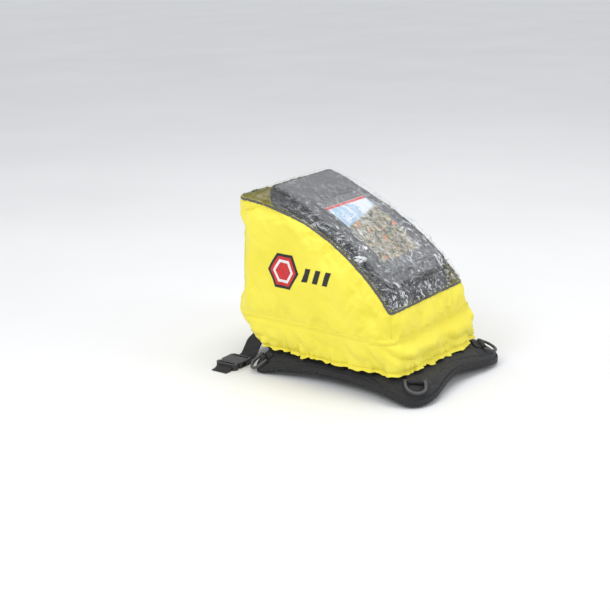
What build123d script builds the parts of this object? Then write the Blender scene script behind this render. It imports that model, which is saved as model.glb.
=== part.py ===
"""Motorcycle tank bag on its padded harness, with the rain cover fitted.

Frame, in millimetres: +X towards the rider, -X towards the handlebars, -Y the motorcycle's left,
+Z up.  While it is modelled, Z = 0 is the flat top of the harness pad.  At the end everything is
lifted so that the lobes of the pad stand on the floor, and the origin lies under the pad's middle.
"""
from build123d import *
from math import atan2, cos, degrees, hypot, radians, sin, sqrt, tan
import os

# --- harness pad: a domed, four-lobed plate that stands on the tips of its lobes
GRIP = 2.0                # non-slip underside
FOAM = 4.0                # foam core
SKIN = 2.0                # woven top skin
DOME_HALF_X = 165.0       # where the flat middle meets the falling rim, fore and aft
DOME_HALF_Y = 134.0       # and sideways
DOME_CORNER = 45.0
DOME_ROUND = 80.0         # radius that blends the flat middle into the rim
DOME_SLOPE = 35.0         # fall of the rim, in degrees
BINDING = 2.2             # tape sewn around the rim
BINDING_LIP = 0.9         # how far the tape stands over the skins
PAD_HALF_OUTLINE = [
    (-170, 0), (-174, -70), (-186, -130), (-172, -161), (-135, -162), (-60, -149), (40, -146),
    (110, -152), (150, -156), (182, -145), (196, -112), (190, -65), (181, 0),
]
OUTLINE_STEPS = 60        # points that carry an outline moved outward

# --- webbing rings on the lobes
WEB = 30.0                # webbing that the rings take
WEB_THICK = 1.6
RING_PLAY = 1.4           # spare width of the ring over its webbing
RING_ARM = 5.8
RING_THICK = 4.4
RING_DEEP = 25.0          # clear depth of the ring
EYE_PLAY = 0.5            # between a bar and the webbing eye around it
TAB_TAIL = 14.0
TAB_SUNK = 1.0            # depth that a tab is sewn into what carries it
RING_SPOTS = {            # where each ring's bar sits on the pad, and the way it points
    "front_left": (-166.0, -145.0, -128.0),
    "front_right": (-166.0, 145.0, 128.0),
    "rear_left": (164.0, -117.0, -48.0),
    "rear_right": (164.0, 117.0, 48.0),
}

# --- front flap and straps
FLAP_REAR = -164.0
FLAP_FRONT = -268.0
FLAP_HALF_REAR = 110.0
FLAP_HALF_FRONT = 76.0
FLAP_ROUND = 22.0
FLAP_THICK = 6.0
FLAP_ARCH = 420.0         # radius of the arch across the flap
FLAP_Z_REAR = -10.0
FLAP_Z_FRONT = 13.0
STRAP = 38.0
STRAP_THICK = 2.2
STRAP_X = -240.0
STRAP_Y = 66.0            # where the strap starts under the flap
STRAP_SPLAY = 2.0         # straps splay rearward by this angle
STRAP_REACH = 66.0        # from its start to the buckle
BUCKLE_LONG = 40.0
BUCKLE_WIDE = 50.0
BUCKLE_THICK = 12.0
BUCKLE_CORNER = 5.0
BUCKLE_WALL = 2.4
BUCKLE_ROOT = 12.0        # solid end of the socket, which carries the webbing slot
BUCKLE_WINDOW = (20.0, 12.0)               # side windows: where they start, and their length
WEB_SLOT = 5.0            # length of the slots that the webbing is threaded through
WEB_BITE = 2.6            # the webbing reaches this far into a buckle's end
PLUG_PLAY = 0.6
PLUG_HEAD = 14.0
PRONG = 7.0               # width of the plug's spring prongs
STRAP_END = 26.0

# --- bag
BAG_LOW = [-181.0, 128.0, 122.0, 40.0]     # front, rear, half width, corner radius, at the pad
BAG_HIGH = [-186.0, 55.0, 110.0, 40.0]     # the same at TOP
TOP = 362.0               # the walls run up to here before the lid's curve cuts them
BAG_FABRIC = 2.0
BAG_FOAM = 4.0            # padding behind the fabric
FLOOR_BOARD = 3.0

# --- lid: a curved plate that falls towards the rider
LID_FRONT = (-168.0, 315.0)
LID_REAR = (98.0, 156.0)
LID_SAG = 18.0            # rise of the lid's curve over its chord
LID_HALF_FRONT = 85.0
LID_HALF_REAR = 100.0
LID_FABRIC = 2.0
LID_FOAM = 6.0
LID_SLIT = 0.6            # open slit of the zip between lid and walls
SHOULDER = 38.0           # slope of the shoulders off the lid's normal
SHOULDER_FRONT = (-250.0, 283.0)
SHOULDER_REAR = (111.0, 116.0)
REAR_FOOT = (137.0, 60.0)  # the rear wall runs out to here below its shoulder
ZIP_BAND = 6.0            # each half of the zip tape
ZIP_PROUD = 0.9
ZIP_FRONT = -150.0        # the zip stops here, short of the hinge
PIPING = 1.9
PIPING_BAND = 3.6

# --- map pocket on the lid
POCKET_START = 74.0       # along the lid from its front edge
POCKET_END = 292.0
POCKET_HALF = 78.0
POCKET_BAND = 9.0
POCKET_ROUND = 12.0
POCKET_LIFT = 2.4
POCKET_SHEET = 0.8
MAP_START = 104.0
MAP_END = 262.0
MAP_LEFT = -66.0
MAP_RIGHT = 56.0
MAP_THICK = 0.9
MAP_CORNER = 2.0

# --- rain cover
COVER = 1.6               # modelled thickness of the coated fabric
COVER_PLAY = 7.0          # the cover stands this far off the lid
HEM = [-205.0, 152.0, 141.0, 62.0]
HEM_Z = 5.0
HEM_CORD = 2.6
WAIST = [-244.0, 138.0, 148.0, 46.0]
WAIST_Z = 65.0
WAIST_TAPE = 3.0
CROWN = [-258.0, 52.0, 108.0, 46.0]        # the cover's walls, carried up to TOP
BORDER_FRONT = (-209.0, 287.0)             # the window's edge, seen from the side
BORDER_MID = (-7.0, 221.0)
BORDER_REAR = (114.0, 117.0)
BORDER_BAND = 3.0
BORDER_PROUD = 0.9
BADGE_X = -112.0
BADGE_Z = 167.0
BADGE_RADIUS = 37.0
BADGE_GAP = 7.0           # between the badge and the first stripe
PRINT = 0.6               # thickness of the printed film
STRIPE = (12.0, 26.0)      # width and height
STRIPE_SLANT = 8.0
STRIPES = 3

# --- zip sliders and carrying handle
SLIDER = (14.0, 9.0, 2.8)                  # along the zip, across it, and off the wall
SLIDER_PARK = 10.0                         # sliders wait this far either side of the middle
PULL = (6.0, 24.0, 1.4)
PULL_PLAY = 0.3
HANDLE_Z = 214.0
HANDLE_HALF = 52.0
HANDLE_ARM = 9.0
HANDLE_THICK = 6.0
HANDLE_DEEP = 26.0
HANDLE_TAB = 22.0
HANDLE_TAB_Y = 34.0

FAR = 450.0               # longer than anything in the assembly
FROM_X = (Align.MIN, Align.CENTER, Align.CENTER)
FROM_X_FLAT = (Align.MIN, Align.CENTER)
FROM_Z = (Align.CENTER, Align.CENTER, Align.MIN)
NODES = {}


def keep(name, shape):
    """Files a solid under its node's name."""
    NODES[name] = shape


# ---------------------------------------------------------------- common shapes
def mirrored(points):
    """Closes a half outline by its mirror image across the X axis."""
    return points + [(x, -y) for x, y in reversed(points[1:-1])]


def tower(low, high, z_low, z_high, inset=0.0):
    """Straight-sided loft between two rounded oblongs, each [front, rear, half width, radius]."""
    faces = []
    for (front, rear, half, corner), z in ((low, z_low), (high, z_high)):
        plan = RectangleRounded(rear - front - 2 * inset, 2 * (half - inset), corner - inset)
        faces.append(Plane.XY.offset(z) * Pos((front + rear) / 2, 0) * plan)
    return loft(faces, ruled=True)


def eye_radius(bar_thick):
    """Bore of a webbing eye that lets a square bar turn."""
    return bar_thick / sqrt(2) + EYE_PLAY


def d_ring(inner_half, deep, arm, thick):
    """Flat D lying in XY: its bar runs along Y through the origin and its bow points to +X."""
    straight = deep - inner_half
    wide = 2 * (inner_half + arm)
    bow_at = Pos(straight + thick / 2, 0)
    bow = bow_at * (Circle(inner_half + arm) - Circle(inner_half))
    bow &= bow_at * Rectangle(FAR, FAR, align=FROM_X_FLAT)
    arms = Pos(-thick / 2, 0) * Rectangle(straight + thick, wide, align=FROM_X_FLAT)
    gap = Pos(thick / 2, 0) * Rectangle(straight, 2 * inner_half, align=FROM_X_FLAT)
    face = bow + (arms - gap)
    ring = extrude(Plane.XY.offset(-thick / 2) * face, thick)
    return chamfer(ring.edges().filter_by(GeomType.CIRCLE), thick / 5)


def webbing_tab(bar_thick, wide, tail):
    """Folded webbing: an eye around the bar at the origin, and a double tail that runs to -X."""
    eye = eye_radius(bar_thick)
    outer = eye + WEB_THICK
    strip = Pos(0, -outer) * Rectangle(outer + tail, 2 * WEB_THICK, align=(Align.MAX, Align.MIN))
    profile = Circle(outer) + strip - Circle(eye)
    return extrude(Plane.XZ * profile, wide / 2, both=True)


def tab_height(bar_thick):
    """Height of the bar's middle over the surface that carries the tab."""
    return eye_radius(bar_thick) + WEB_THICK - TAB_SUNK


# ---------------------------------------------------------------- harness
def dome(inset):
    """Flat-topped mound whose surface lies `inset` under the pad's top skin."""
    slope = radians(DOME_SLOPE)
    back = inset * tan(slope / 2)
    long, wide = 2 * (DOME_HALF_X - back), 2 * (DOME_HALF_Y - back)
    plan = RectangleRounded(long, wide, DOME_CORNER - back)
    mound = extrude(Plane.XY.offset(-inset) * plan, -90.0, taper=DOME_SLOPE - 90.0)
    rim = mound.faces().sort_by(Axis.Z)[-1].edges()
    return fillet(rim, DOME_ROUND - inset)


def pad_plan(grow=0.0):
    """Prism over the pad's four-lobed outline, moved outward by `grow`."""
    outline = Spline(*mirrored(PAD_HALF_OUTLINE), periodic=True)
    if grow:
        moved = []
        for step in range(OUTLINE_STEPS):
            along = outline % (step / OUTLINE_STEPS)
            moved.append(outline @ (step / OUTLINE_STEPS) + Vector(along.Y, -along.X, 0) * grow)
        outline = Spline(*moved, periodic=True)
    return extrude(make_face(outline), 200.0, both=True)


def make_pad():
    plan = pad_plan()
    depth = 0.0
    for name, thick in (("base_top_skin", SKIN), ("base_foam_core", FOAM), ("base_grip_layer", GRIP)):
        keep(name, (dome(depth) - dome(depth + thick)) & plan)
        depth += thick
    rim = pad_plan(BINDING) - plan
    keep("base_edge_binding", (dome(-BINDING_LIP) - dome(depth + BINDING_LIP)) & rim)


def floor_height():
    """Level of the floor: the lowest point of the pad's lobes."""
    return min(NODES[name].bounding_box().min.Z for name in ("base_grip_layer", "base_edge_binding"))


def ring_plane(x, y, turn):
    """Plane on the pad's skin at a ring's bar: its X runs outboard and down the lobe."""
    point, normal = dome(0).find_intersection_points(Axis((x, y, 200), (0, 0, -1)))[0]
    normal = normal if normal.Z > 0 else -normal
    out = Vector(cos(radians(turn)), sin(radians(turn)), 0)
    out = out - normal * out.dot(normal)
    return Plane(origin=point, x_dir=out, z_dir=normal)


def make_rings():
    for name, (x, y, turn) in RING_SPOTS.items():
        seat = ring_plane(x, y, turn) * Pos(0, 0, tab_height(RING_THICK))
        ring = d_ring((WEB + RING_PLAY) / 2, RING_DEEP, RING_ARM, RING_THICK)
        tab = seat * webbing_tab(RING_THICK, WEB, TAB_TAIL)
        keep("d_ring_" + name, seat * ring)
        keep("ring_tab_" + name, tab)
        for layer in ("base_top_skin", "base_foam_core"):
            NODES[layer] -= tab


def flap_angle():
    return degrees(atan2(FLAP_Z_FRONT - FLAP_Z_REAR, FLAP_REAR - FLAP_FRONT))


def make_flap():
    """Padded tongue that rises forward from the pad, arched over the tank's neck."""
    long = hypot(FLAP_REAR - FLAP_FRONT, FLAP_Z_FRONT - FLAP_Z_REAR)
    rear = [(0, -FLAP_HALF_REAR), (0, FLAP_HALF_REAR)]
    front = [(-long, FLAP_HALF_FRONT), (-long, -FLAP_HALF_FRONT)]
    plan = Polygon(*rear, *front, align=None)
    plan = fillet(plan.vertices().sort_by(Axis.X)[:2], FLAP_ROUND)
    arch = Cylinder(FLAP_ARCH, FAR) - Cylinder(FLAP_ARCH - FLAP_THICK, FAR)
    arch = Pos(0, 0, -FLAP_ARCH) * Rot(0, 90, 0) * arch
    flap = extrude(plan, FAR, both=True) & arch
    flap = flap.solids().sort_by(Axis.Z)[-1]
    flap = Pos(FLAP_REAR, 0, FLAP_Z_REAR) * Rot(0, flap_angle(), 0) * flap
    keep("front_flap", flap - pad_plan(BINDING))


def strap_plane(side):
    """Upright plane along a strap: X runs outboard, Z stays up."""
    turn = radians(STRAP_SPLAY)
    out = Vector(sin(turn), side * cos(turn), 0)
    return Plane(origin=(STRAP_X, side * STRAP_Y, 0), x_dir=out, z_dir=(0, 0, 1))


def flap_underside(x, y):
    climb = (FLAP_REAR - x) * tan(radians(flap_angle()))
    return FLAP_Z_REAR + climb - (FLAP_ARCH - sqrt(FLAP_ARCH ** 2 - y ** 2)) - FLAP_THICK


def ribbon(points, wide, bend):
    """Flat webbing along a path of X and Z points, centred on the XZ plane."""
    path = FilletPolyline(*points, radius=bend)
    return extrude(Plane.XZ * trace(path, STRAP_THICK), wide / 2, both=True)


def socket_shape():
    """Side-release socket: a flat box, open at its +X end, with side windows and a webbing slot."""
    body = Box(BUCKLE_LONG, BUCKLE_WIDE, BUCKLE_THICK, align=FROM_X)
    body = chamfer(body.edges().filter_by(Axis.Z), BUCKLE_CORNER)
    wide = BUCKLE_WIDE - 2 * BUCKLE_WALL
    tall = BUCKLE_THICK - 2 * BUCKLE_WALL
    cavity = Pos(BUCKLE_ROOT, 0, 0) * Box(BUCKLE_LONG - BUCKLE_ROOT, wide, tall, align=FROM_X)
    windows = Pos(BUCKLE_WINDOW[0], 0, 0) * Box(BUCKLE_WINDOW[1], 2 * BUCKLE_WIDE, tall, align=FROM_X)
    slot = Pos(BUCKLE_ROOT - WEB_SLOT - 3, 0, 0) * Box(WEB_SLOT, STRAP + 1, FAR, align=FROM_X)
    return body - cavity - windows - slot


def plug_shape():
    """Plug of the buckle: a head with a webbing slot, a guide tongue and two spring prongs."""
    wide = BUCKLE_WIDE - 2 * (BUCKLE_WALL + PLUG_PLAY)
    thick = BUCKLE_THICK - 2 * (BUCKLE_WALL + PLUG_PLAY)
    tongue_start = BUCKLE_ROOT + PLUG_PLAY
    head_start = BUCKLE_LONG + PLUG_PLAY
    head = Pos(head_start, 0, 0) * Box(PLUG_HEAD, BUCKLE_WIDE, BUCKLE_THICK, align=FROM_X)
    head = chamfer(head.edges().filter_by(Axis.Z), BUCKLE_CORNER - 1)
    slot = Pos(head_start + WEB_SLOT, 0, 0) * Box(WEB_SLOT, STRAP + 1, FAR, align=FROM_X)
    tongue = Pos(tongue_start, 0, 0) * Box(head_start - tongue_start, wide, thick, align=FROM_X)
    for side in (-1, 1):
        relief = Box(head_start - tongue_start - 9, wide / 2 - 2 * PRONG, FAR, align=FROM_X)
        tongue -= Pos(tongue_start, side * wide / 4, 0) * relief
    return head - slot + tongue


def make_straps(floor):
    rest = floor + BUCKLE_THICK / 2
    end_rest = floor + STRAP_THICK / 2 + PLUG_PLAY / 2
    for name, side in (("left", -1), ("right", 1)):
        place = strap_plane(side)
        start = flap_underside(STRAP_X, STRAP_Y) - STRAP_THICK / 2 + TAB_SUNK
        lead = [(0, start), (24, start - 7), (STRAP_REACH - 20, rest), (STRAP_REACH + WEB_BITE, rest)]
        strap = place * ribbon(lead, STRAP, 14.0)
        keep("front_strap_" + name, strap)
        NODES["front_flap"] -= strap
        at = place * Pos(STRAP_REACH, 0, rest)
        keep("buckle_socket_" + name, at * socket_shape() - strap)
        x = STRAP_REACH + BUCKLE_LONG + PLUG_PLAY + 2 * WEB_SLOT - WEB_BITE
        tail = [(x, rest), (x + 8, rest), (x + 16, end_rest), (x + STRAP_END, end_rest)]
        tail = place * ribbon(tail, STRAP, 4.0)
        keep("buckle_plug_" + name, at * plug_shape() - tail)
        keep("strap_end_" + name, tail)


# ---------------------------------------------------------------- bag and lid
LID_LONG = hypot(LID_REAR[0] - LID_FRONT[0], LID_REAR[1] - LID_FRONT[1])
LID_TILT = atan2(LID_FRONT[1] - LID_REAR[1], LID_REAR[0] - LID_FRONT[0])
LID_RADIUS = (LID_LONG ** 2 / 4 + LID_SAG ** 2) / (2 * LID_SAG)
LID_THICK = LID_FABRIC + LID_FOAM
LID_CENTRE = (
    (LID_FRONT[0] + LID_REAR[0]) / 2 - (LID_RADIUS - LID_SAG) * sin(LID_TILT),
    (LID_FRONT[1] + LID_REAR[1]) / 2 - (LID_RADIUS - LID_SAG) * cos(LID_TILT),
)


def lid_plane():
    """Plane through the lid's front and rear edges: X runs down towards the rider."""
    return Plane(
        origin=(LID_FRONT[0], 0, LID_FRONT[1]), x_dir=(cos(LID_TILT), 0, -sin(LID_TILT)),
        z_dir=(sin(LID_TILT), 0, cos(LID_TILT)))


def under_curve(lift):
    """Everything below the lid's curve raised by `lift`."""
    drum = Rot(90, 0, 0) * Cylinder(LID_RADIUS + lift, 2 * FAR)
    return Pos(LID_CENTRE[0], 0, LID_CENTRE[1]) * drum


def curve_band(low, high):
    return under_curve(high) - under_curve(low)


def extended(start, through, distance):
    """Point on the line from start through another point, `distance` from the start."""
    run = hypot(through[0] - start[0], through[1] - start[1])
    share = distance / run
    return (start[0] + share * (through[0] - start[0]), start[1] + share * (through[1] - start[1]))


def side_view(inset):
    """Silhouette of the shoulders fore and aft of the lid, run right across the bag."""
    front = extended(LID_FRONT, SHOULDER_FRONT, 260.0)
    above_front = extended(SHOULDER_FRONT, LID_FRONT, 240.0)
    above_rear = extended(SHOULDER_REAR, LID_REAR, 260.0)
    foot = extended(SHOULDER_REAR, REAR_FOOT, 140.0)
    corner = (front[0], foot[1])
    face = Polygon(front, above_front, above_rear, SHOULDER_REAR, foot, corner, align=None)
    if inset:
        face = offset(face, -inset, kind=Kind.INTERSECTION)
    return extrude(Plane.XZ * face, FAR, both=True)


def roof(inset):
    """Roof that follows the lid's curve, with shoulders that fall away to both sides."""
    fall = tan(radians(SHOULDER))
    grow = inset / cos(radians(SHOULDER))
    ridge, foot = 44.0, -360.0
    sections = []
    for step in range(7):
        along = -95.0 + step * (LID_LONG + 165.0) / 6
        rise = sqrt(LID_RADIUS ** 2 - (along - LID_LONG / 2) ** 2) - (LID_RADIUS - LID_SAG)
        half = LID_HALF_FRONT + (LID_HALF_REAR - LID_HALF_FRONT) * along / LID_LONG - grow
        top = half + (rise - ridge) * fall
        low = half + (rise - foot) * fall
        lid = lid_plane()
        middle = lid.from_local_coords((along, 0, 0))
        across = Plane(origin=middle, x_dir=lid.y_dir, z_dir=lid.x_dir)
        outline = [(-low, foot), (low, foot), (top, ridge), (-top, ridge)]
        sections.append(across * Polygon(*outline, align=None))
    return loft(sections)


def block(low, high, z_low, inset, play=0.0):
    """Bag-shaped solid, open to the sky over the lid: walls cut by the shoulders."""
    walls = tower(low, high, z_low, TOP, inset)
    return walls & side_view(inset - play) & roof(inset - play)


def bag_block(inset):
    return block(BAG_LOW, BAG_HIGH, 0.0, inset)


def cover_block(inset):
    """The cover's body above the waist; a negative inset swells it."""
    return block(WAIST, CROWN, WAIST_Z, inset, COVER_PLAY) & under_curve(COVER_PLAY - inset)


def upper_half(z):
    """Everything above a level."""
    return Pos(0, 0, z) * Box(4 * FAR, 4 * FAR, FAR, align=FROM_Z)


def left_half():
    """Everything on the motorcycle's left."""
    return Pos(0, -FAR, 0) * Box(4 * FAR, 2 * FAR, 4 * FAR)


def wedge(oblong, end):
    """Plan wedge that takes one end of an oblong, cut through the middle of its corners."""
    front, rear, half, corner = oblong
    x = front + corner if end == "front" else rear - corner
    reach = -FAR if end == "front" else FAR
    y = half - corner
    plan = Polygon((x, -y), (x, y), (x + reach, y + FAR), (x + reach, -y - FAR), align=None)
    return extrude(plan, FAR, both=True)


def quarters(shell, oblong):
    """Splits a ring of wall into its front, rear, left and right panels."""
    front = shell & wedge(oblong, "front")
    rear = shell & wedge(oblong, "rear")
    sides = shell - wedge(oblong, "front") - wedge(oblong, "rear")
    return {"front": front, "rear": rear, "left": sides & left_half(), "right": sides - left_half()}


def make_bag():
    outer, middle, inner = bag_block(0), bag_block(BAG_FABRIC), bag_block(BAG_FABRIC + BAG_FOAM)
    below = under_curve(-LID_THICK - LID_SLIT)
    above_floor = upper_half(FLOOR_BOARD)
    keep("bag_floor_board", middle - above_floor)
    for name, panel in quarters((outer - middle) & below, BAG_LOW).items():
        keep("bag_panel_" + name, panel)
    for name, panel in quarters((middle - inner) & below & above_floor, BAG_LOW).items():
        keep("bag_foam_" + name, panel)
    return outer, middle


def make_lid(outer, middle):
    slab = (outer & under_curve(0)) - under_curve(-LID_THICK)
    foam = middle & curve_band(-LID_THICK, -LID_FABRIC)
    keep("lid_foam", foam)
    keep("lid_panel", slab - foam)


def make_trim(outer):
    """Zip tapes either side of the slit, and the piping along the lid's edge."""
    proud = bag_block(-ZIP_PROUD) - outer
    proud &= Pos(ZIP_FRONT, 0, 0) * Box(2 * FAR, 2 * FAR, 4 * FAR, align=FROM_X)
    keep("zip_tape_lid", proud & curve_band(-LID_THICK, ZIP_BAND - LID_THICK))
    low = -LID_THICK - LID_SLIT
    keep("zip_tape_wall", proud & curve_band(low - ZIP_BAND, low))
    lip = (bag_block(-PIPING) & curve_band(-PIPING, PIPING)) - (outer & under_curve(0))
    keep("lid_piping", lip - bag_block(PIPING_BAND))


def lid_patch(start, end, left, right, corner, low, high):
    """Thin plate that lies on the lid between two heights over its fabric."""
    middle = Pos((start + end) / 2, (left + right) / 2)
    plan = middle * RectangleRounded(end - start, right - left, corner)
    return extrude(lid_plane() * plan, 80.0, both=True) & curve_band(low, high)


def make_map_pocket():
    half = POCKET_HALF
    rim = lid_patch(POCKET_START, POCKET_END, -half, half, POCKET_ROUND, 0, POCKET_LIFT)
    start, end = POCKET_START + POCKET_BAND, POCKET_END - POCKET_BAND
    half -= POCKET_BAND
    corner = POCKET_ROUND / 2
    keep("map_pocket_frame", rim - lid_patch(start, end, -half, half, corner, -5, 20))
    low = POCKET_LIFT - POCKET_SHEET
    keep("map_pocket_window", lid_patch(start, end, -half, half, corner, low, POCKET_LIFT))
    folded = lid_patch(MAP_START, MAP_END, MAP_LEFT, MAP_RIGHT, MAP_CORNER, 0, MAP_THICK)
    keep("folded_map", folded)


def on_shoulder(edge, shoulder, lift):
    """Point on a shoulder line where it meets the lid's curve raised by `lift`."""
    run = hypot(shoulder[0] - edge[0], shoulder[1] - edge[1])
    ux, uz = (shoulder[0] - edge[0]) / run, (shoulder[1] - edge[1]) / run
    px, pz = edge[0] - LID_CENTRE[0], edge[1] - LID_CENTRE[1]
    along = ux * px + uz * pz
    gap = px ** 2 + pz ** 2 - (LID_RADIUS + lift) ** 2
    way = -along - sqrt(along ** 2 - gap)
    return (edge[0] + way * ux, edge[1] + way * uz)


def rear_plane():
    """Plane on the rear shoulder at the slit: its X runs along the zip, its Y up the shoulder."""
    x, z = on_shoulder(LID_REAR, SHOULDER_REAR, -LID_THICK - LID_SLIT / 2)
    up = Vector(LID_REAR[0] - SHOULDER_REAR[0], 0, LID_REAR[1] - SHOULDER_REAR[1]).normalized()
    return Plane(origin=(x, 0, z), x_dir=(0, 1, 0), z_dir=Vector(0, 1, 0).cross(up))


def make_sliders():
    long, wide, thick = SLIDER
    hanging = (Align.CENTER, Align.MAX, Align.MIN)
    for name, side in (("left", -1), ("right", 1)):
        place = rear_plane() * Pos(side * SLIDER_PARK, 0, ZIP_PROUD + PULL_PLAY)
        slider = Box(long, wide, thick, align=FROM_Z)
        slider = chamfer(slider.edges().filter_by(Axis.Z), 2.0)
        keep("zip_slider_" + name, place * slider)
        pull = Box(*PULL, align=hanging)
        keep("zip_pull_" + name, place * Pos(0, -wide / 2, 0) * pull)


def front_wall_plane():
    """Plane on the bag's front wall at the handle: its X hangs down the wall."""
    share = HANDLE_Z / TOP
    x = BAG_LOW[0] + share * (BAG_HIGH[0] - BAG_LOW[0])
    down = Vector(BAG_LOW[0] - BAG_HIGH[0], 0, -TOP).normalized()
    return Plane(origin=(x, 0, HANDLE_Z), x_dir=down, z_dir=Vector(0, 1, 0).cross(down))


def make_handle():
    seat = front_wall_plane() * Pos(0, 0, tab_height(HANDLE_THICK))
    reach = HANDLE_THICK + HANDLE_DEEP + HANDLE_ARM
    loop = RectangleRounded(reach, 2 * (HANDLE_HALF + HANDLE_ARM), HANDLE_THICK / 3)
    loop = Pos((reach - HANDLE_THICK) / 2, 0) * loop
    gap = RectangleRounded(HANDLE_DEEP, 2 * HANDLE_HALF, HANDLE_THICK)
    loop -= Pos((HANDLE_THICK + HANDLE_DEEP) / 2, 0) * gap
    handle = extrude(Plane.XY.offset(-HANDLE_THICK / 2) * loop, HANDLE_THICK)
    keep("carry_handle", seat * handle)
    for name, side in (("left", -1), ("right", 1)):
        tab = seat * Pos(0, side * HANDLE_TAB_Y, 0) * webbing_tab(HANDLE_THICK, HANDLE_TAB, TAB_TAIL)
        keep("handle_tab_" + name, tab)
        NODES["bag_panel_front"] -= tab


# ---------------------------------------------------------------- rain cover
def border_line(lift):
    """Everything above the window's edge raised by `lift`."""
    arc = ThreePointArc(BORDER_FRONT, BORDER_MID, BORDER_REAR)
    front = (-FAR, BORDER_FRONT[1] + 3)
    rear = (FAR, BORDER_REAR[1])
    sky = Polyline(BORDER_REAR, rear, (FAR, 2 * FAR), (-FAR, 2 * FAR), front, BORDER_FRONT)
    return extrude(Plane.XZ * Pos(0, lift) * make_face([arc, sky]), FAR, both=True)


def make_cover():
    outer = cover_block(0)
    shell = outer - cover_block(COVER)
    window = border_line(0)
    keep("cover_window", shell & window)
    for name, panel in quarters(shell - window, WAIST).items():
        keep("cover_panel_" + name, panel)
    skirt = tower(HEM, WAIST, HEM_Z, WAIST_Z) - tower(HEM, WAIST, HEM_Z, WAIST_Z, COVER)
    keep("cover_skirt", skirt)
    proud = cover_block(-BORDER_PROUD) - outer
    keep("window_binding", proud & (border_line(-BORDER_BAND) - border_line(BORDER_BAND)))
    keep("waist_tape", proud - upper_half(WAIST_Z + WAIST_TAPE))
    return outer


def make_hem():
    """Elastic cord in the skirt's lower edge."""
    front, rear, half, corner = HEM
    plan = Pos((front + rear) / 2, 0) * RectangleRounded(rear - front, 2 * half, corner)
    wire = (Plane.XY.offset(HEM_Z) * plan).face().outer_wire()
    start = Plane(origin=wire @ 0, z_dir=wire % 0)
    keep("elastic_hem", sweep(start * Circle(HEM_CORD), wire))
    NODES["cover_skirt"] -= NODES["elastic_hem"]


def make_badge(outer):
    """Plain hexagon and slanted stripes, printed on the left panel."""
    film = (cover_block(-PRINT) - outer) & left_half()
    badge = Plane.XZ * Pos(BADGE_X, BADGE_Z) * RegularPolygon(BADGE_RADIUS, 6)
    keep("cover_badge", film & extrude(badge, FAR, both=True))
    wide, tall = STRIPE
    slant = STRIPE_SLANT
    stripes = Sketch()
    for step in range(STRIPES):
        at = Pos(BADGE_X + BADGE_RADIUS + BADGE_GAP + step * 2 * wide, BADGE_Z - tall / 2)
        stripes += at * Polygon((0, 0), (wide, 0), (wide + slant, tall), (slant, tall), align=None)
    keep("cover_stripes", film & extrude(Plane.XZ * stripes, FAR, both=True))


def main():
    make_pad()
    floor = floor_height()
    make_rings()
    make_flap()
    make_straps(floor)
    outer, middle = make_bag()
    make_lid(outer, middle)
    make_trim(outer)
    make_map_pocket()
    make_sliders()
    make_handle()
    cover = make_cover()
    make_hem()
    make_badge(cover)
    os.makedirs("parts", exist_ok=True)
    for name, solid in NODES.items():
        export_step(Pos(0, 0, -floor) * solid, "parts/" + name + ".step")


main()
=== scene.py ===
"""Looks of the tank bag: a clear-topped fluorescent rain cover over a soft bag on its padded harness.

Metres, in the CAD frame: +X towards the rider, -Y the motorcycle's left, +Z up.
"""
import math

import bmesh
import bpy
import numpy as np
from mathutils import Matrix, Vector
from mathutils.bvhtree import BVHTree


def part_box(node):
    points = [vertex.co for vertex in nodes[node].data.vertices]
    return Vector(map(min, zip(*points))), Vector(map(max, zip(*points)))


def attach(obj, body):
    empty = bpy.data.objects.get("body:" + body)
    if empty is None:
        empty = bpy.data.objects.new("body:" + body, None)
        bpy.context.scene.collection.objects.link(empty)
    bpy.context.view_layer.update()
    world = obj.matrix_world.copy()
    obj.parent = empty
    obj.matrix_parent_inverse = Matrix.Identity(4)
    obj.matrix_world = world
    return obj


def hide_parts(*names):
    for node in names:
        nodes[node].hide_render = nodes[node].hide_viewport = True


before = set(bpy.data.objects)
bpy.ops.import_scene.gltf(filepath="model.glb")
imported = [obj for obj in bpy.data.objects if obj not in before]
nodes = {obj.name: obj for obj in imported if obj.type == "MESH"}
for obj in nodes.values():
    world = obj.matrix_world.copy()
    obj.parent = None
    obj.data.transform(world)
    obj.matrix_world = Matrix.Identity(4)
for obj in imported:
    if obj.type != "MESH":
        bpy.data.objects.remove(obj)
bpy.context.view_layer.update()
scene = bpy.context.scene
scene.view_settings.view_transform = "Standard"

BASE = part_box("bag_floor_board")[0].z          # flat top of the pad
WAIST_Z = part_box("cover_skirt")[1].z           # seam between the cover's body and its skirt
HEM_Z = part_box("elastic_hem")[0].z + 0.0026    # middle of the elastic
WAIST = (-0.244, 0.138, 0.148, 0.046)          # front, rear, half width, corner
HEM = (-0.205, 0.152, 0.141, 0.062)
BORDER = ((-0.209, 0.287), (-0.007, 0.221), (0.114, 0.117))   # window's edge over the pad, from the side
LID_FRONT = (-0.168, 0.315)
LID_REAR = (0.098, 0.156)
LID_SAG = 0.018
LID_THICK = 0.008
ZIP_FRONT = -0.150                             # the zip stops here, short of the lid's hinge
POCKET = (0.074, 0.292, 0.078)                 # start and end along the lid, half width
MAP = (0.104, 0.262, -0.066, 0.056)            # start, end, left and right on the lid
SHEET_STEPS = (90, 60)                         # mesh of the map and of the pocket's film
PUFF_FRAMES = 20


# ---------------------------------------------------------------- camera, first of all
def make_camera():
    data = bpy.data.cameras.new("camera")
    data.lens = 69.2
    data.sensor_width = 36.0
    camera = bpy.data.objects.new("camera", data)
    scene.collection.objects.link(camera)
    right = Vector((0.78346, 0.62056, -0.03319))
    up = Vector((-0.16723, 0.26197, 0.95048))
    back = Vector((0.59852, -0.73911, 0.30902))
    place = Matrix((right, up, back)).transposed().to_4x4()
    place.translation = (1.2510, -1.7655, 0.8299)
    camera.matrix_world = place
    scene.camera = camera


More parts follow.
